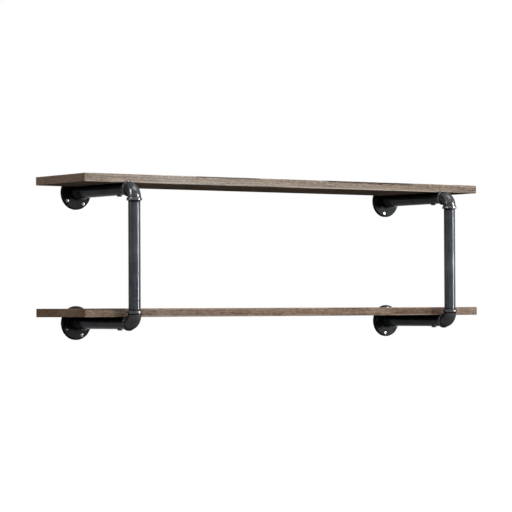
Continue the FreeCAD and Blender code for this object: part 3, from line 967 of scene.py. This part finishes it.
# The flanges' copy is painted darker, as shade under the planks by the wall.
shaded_flange_finish = blackened_casting("dull_casting_shaded", (0.011, 0.012, 0.012), (0.022, 0.022, 0.022),
                                  metallic=0.30, roughness=0.45, lumps=0.2 * MM)
for corner in CORNERS:
    refinish(f"{corner}_elbow", elbow_finishes[corner.split("_")[0]])
    refinish(f"{corner}_wall_flange", shaded_flange_finish)
print("elbows and flanges:", 2 * len(CORNERS))

# %% [markdown]
# ## Wall screws: the body
#
# Each flange is held by four countersunk screws. A screw is turned about its axis: a flat head, a
# cone that fills the countersink and a shank that ends at the wall. Its outline is a short list of
# points, and the mesh is that outline carried round in even steps.

# %% Turn a body
HEAD_RADIUS = 3.85 * MM
HEAD_EDGE = 0.30 * MM
SHANK_RADIUS = 2.1 * MM
TURN_STEPS = 48


def screw_outline(length):
    """(radius, height) points from the middle of the head, at height 0, to the shank's end."""
    cone = HEAD_RADIUS - SHANK_RADIUS
    return [
        (0.0, 0.0),
        (HEAD_RADIUS * 0.92, 0.0),
        (HEAD_RADIUS * 0.985, -0.06 * MM),
        (HEAD_RADIUS, -0.18 * MM),
        (HEAD_RADIUS, -HEAD_EDGE),
        (SHANK_RADIUS, -HEAD_EDGE - cone),
        (SHANK_RADIUS, -length),
        (0.0, -length),
    ]


def turned_mesh(name, outline):
    """A closed solid of revolution about Z through the outline's points, from axis to axis."""
    maker = bmesh.new()
    first = maker.verts.new((0, 0, outline[0][1]))
    last = maker.verts.new((0, 0, outline[-1][1]))
    rings = []
    for radius, height in outline[1:-1]:
        ring = []
        for step in range(TURN_STEPS):
            angle = 2 * math.pi * step / TURN_STEPS
            spot = (radius * math.cos(angle), radius * math.sin(angle), height)
            ring.append(maker.verts.new(spot))
        rings.append(ring)
    for step in range(TURN_STEPS):
        following = (step + 1) % TURN_STEPS
        maker.faces.new((first, rings[0][following], rings[0][step]))
        maker.faces.new((last, rings[-1][step], rings[-1][following]))
        for lower, upper in zip(rings, rings[1:]):
            maker.faces.new((lower[step], lower[following], upper[following], upper[step]))
    bmesh.ops.recalc_face_normals(maker, faces=maker.faces)
    return to_mesh(maker, name)


print("points in the screw's outline:", len(screw_outline(HEAD_RADIUS)))

# %% [markdown]
# ## Wall screws: the cross recess
#
# A painted cross would do from afar, but the recess's sharp walls are what catches the light. So a
# tapered cross of two bars is cut out of the head with a boolean. The flange's hub stands out from
# its plate, the head sits a little below the plate's front, and the shank reaches from there to
# the wall.

# %% Cut the recess
RECESS_REACH = 2.2 * MM
RECESS_WIDTH = 1.15 * MM
RECESS_DEPTH = 1.7 * MM
RECESS_TOP = 0.4 * MM
SHARP_ANGLE = math.radians(32)
HUB_RISE = 3.0 * MM
SEAT_DEPTH = 0.60 * MM


def tapered_bar(maker, turn):
    """One bar of the cross: wide at the top and narrow at the bottom of the recess."""
    corners = []
    for height, scale, half_width in ((RECESS_TOP, 1.06, RECESS_WIDTH * 0.54),
                                      (-RECESS_DEPTH, 0.42, RECESS_WIDTH * 0.34)):
        for sign_x, sign_y in ((1, 1), (-1, 1), (-1, -1), (1, -1)):
            spot = Vector((sign_x * RECESS_REACH * scale, sign_y * half_width, height))
            corners.append(maker.verts.new(Matrix.Rotation(turn, 3, "Z") @ spot))
    top, bottom = corners[:4], corners[4:]
    maker.faces.new(top)
    maker.faces.new(bottom[::-1])
    for index in range(4):
        following = (index + 1) % 4
        maker.faces.new((top[following], top[index], bottom[index], bottom[following]))


def cut(target, cutter_mesh, name):
    """The target's mesh with the cutter's taken away."""
    cutter = add_object(name, cutter_mesh)
    modifier = target.modifiers.new("cut", "BOOLEAN")
    modifier.operation = "DIFFERENCE"
    modifier.solver = "EXACT"
    modifier.use_self = True
    modifier.object = cutter
    bpy.context.view_layer.update()
    dependencies = bpy.context.evaluated_depsgraph_get()
    shaped = bpy.data.meshes.new_from_object(target.evaluated_get(dependencies))
    target.modifiers.clear()
    target.data = shaped
    bpy.data.objects.remove(cutter)
    return shaped


def wall_screw_mesh(length):
    """Head up at height 0, shank down to -length."""
    blank = add_object("screw_blank", turned_mesh("screw_blank", screw_outline(length)))
    cross = bmesh.new()
    tapered_bar(cross, 0.0)
    tapered_bar(cross, math.pi / 2)
    shaped = cut(blank, to_mesh(cross, "cross"), "cross")
    bpy.data.objects.remove(blank)
    shaped.name = "wall_screw"
    for face in shaped.polygons:
        face.use_smooth = True
    shaped.set_sharp_from_angle(angle=SHARP_ANGLE)
    return shaped


plate_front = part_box("lower_left_wall_flange")[0].y + HUB_RISE
screw_mesh = wall_screw_mesh(-plate_front - SEAT_DEPTH)
print("wall screw has", len(screw_mesh.vertices), "vertices")

# %% [markdown]
# ## Wall screws: the finish
#
# The screws are plated with zinc. It is all metal, so its colour is that of what it mirrors: fine
# scratches blur that a little, and shade is painted into the recess.

# %% Zinc finish
WORN_ZINC = (0.24, 0.24, 0.236, 1.0)
ZINC_RECESS_SHADE = (0.02, 0.02, 0.02, 1.0)


def zinc():
    material, tree, surface, place = new_finish("bright_zinc")
    slow = noise_at(tree, place, 240.0, 3.0)
    scratches = noise_at(tree, stretched(tree, place, (900.0, 900.0, 4200.0)), 1.0, 2.0)
    wear = edge_wear(tree, place, 0.4 * MM, 900.0)
    colour = ramp(tree, slow, [(0.30, (0.050, 0.050, 0.049)), (0.70, (0.110, 0.109, 0.107))])
    colour = mix_colours(tree, times(tree, wear, 0.5), colour, WORN_ZINC)
    # Painted shade in the cross recess.
    colour = mix_colours(tree, occlusion_shade(tree, 2.0 * MM), colour, ZINC_RECESS_SHADE)
    link(tree, colour, surface, "Base Color")
    surface.inputs["Metallic"].default_value = 1.0
    link(tree, fit(tree, scratches, 0.3, 0.7, 0.22, 0.38), surface, "Roughness")
    bump(tree, surface, (scratches, 0.02 * MM))
    return material


screw_mesh.materials.append(zinc())
print("wall screw finish:", screw_mesh.materials[0].name)

# %% [markdown]
# ## Wall screws: all sixteen
#
# One mesh serves all the screws. The same screw could be copied with an array modifier, but whoever
# hung the shelf turned each flange until it was tight, so the rings of holes stand at different
# angles, and so do the recesses of the driven screws. A loop places each screw on its own.

# %% Drive the wall screws
FLANGE_TURNS = {"upper_left": 35.0, "lower_left": 26.0, "upper_right": 80.0, "lower_right": 82.0}
HOLE_MARGIN = 8.0 * MM
SCREWS_EACH = 4
DRIVEN_STEP, DRIVEN_SHIFT = 1.1, 0.7

for corner in CORNERS:
    low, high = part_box(f"{corner}_wall_flange")
    middle = (low + high) / 2
    circle = (high.x - low.x) / 2 - HOLE_MARGIN
    for number in range(SCREWS_EACH):
        angle = math.radians(FLANGE_TURNS[corner] + 90.0 * number)
        spot = Vector((middle.x + circle * math.cos(angle), plate_front + SEAT_DEPTH,
                       middle.z + circle * math.sin(angle)))
        turn = DRIVEN_STEP * number + DRIVEN_SHIFT * len(corner)
        driven = Matrix.Rotation(turn, 4, "Z")
        towards_room = Matrix.Rotation(math.pi / 2, 4, "X")
        screw = add_object(f"{corner}_wall_screw_{number + 1}", screw_mesh)
        screw.matrix_world = Matrix.Translation(spot) @ towards_room @ driven
        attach(screw, "root")
print("wall screws:", SCREWS_EACH * len(CORNERS))

# %% [markdown]
# ## Screws and inserts for the planks
#
# Dark screws come up through the arms into brass sleeves in the planks. Only the round heads show,
# under the arms. Their solids are right as they are, so they only get their finishes.

# %% Board screws and inserts
WORN_SCREW = (0.18, 0.18, 0.18, 1.0)
WORN_BRASS = (0.86, 0.70, 0.40, 1.0)
BRASS_CORNER_SHADE = (0.02, 0.015, 0.008, 1.0)


def black_screw():
    material, tree, surface, place = new_finish("black_oxide_screw")
    slow = noise_at(tree, place, 300.0, 3.0)
    wear = edge_wear(tree, place, 0.6 * MM, 700.0)
    colour = ramp(tree, slow, [(0.30, (0.018, 0.018, 0.020)), (0.70, (0.034, 0.034, 0.036))])
    colour = mix_colours(tree, times(tree, wear, 0.5), colour, WORN_SCREW)
    link(tree, colour, surface, "Base Color")
    link(tree, fit(tree, slow, 0.3, 0.7, 0.28, 0.42), surface, "Roughness")
    bump(tree, surface, (slow, 0.03 * MM))
    return material


def brass():
    material, tree, surface, place = new_finish("turned_brass")
    slow = noise_at(tree, place, 200.0, 3.0)
    turning = noise_at(tree, stretched(tree, place, (120.0, 120.0, 5200.0)), 1.0, 2.0)
    wear = edge_wear(tree, place, 0.4 * MM, 700.0)
    colour = ramp(tree, slow, [(0.30, (0.50, 0.34, 0.13)), (0.70, (0.74, 0.55, 0.26))])
    colour = mix_colours(tree, times(tree, wear, 0.5), colour, WORN_BRASS)
    # Painted shade in the corners.
    colour = mix_colours(tree, occlusion_shade(tree, 6.0 * MM, 0.95, 0.60), colour, BRASS_CORNER_SHADE)
    link(tree, colour, surface, "Base Color")
    surface.inputs["Metallic"].default_value = 1.0
    link(tree, fit(tree, turning, 0.3, 0.7, 0.20, 0.36), surface, "Roughness")
    bump(tree, surface, (turning, 0.03 * MM))
    return material


black_finish, brass_finish = black_screw(), brass()
for corner in CORNERS:
    for position in ("rear", "front"):
        refinish(f"{corner}_{position}_board_screw", black_finish)
        refinish(f"{corner}_{position}_insert", brass_finish)
print("board screws and inserts:", 4 * len(CORNERS))

# %% [markdown]
# ## The view transform
#
# Colours are shown plainly, through the standard view transform. The dressed shelf has to
# stay inside the box of its solids.

# %% Set the view transform
bpy.context.scene.view_settings.view_transform = "Standard"
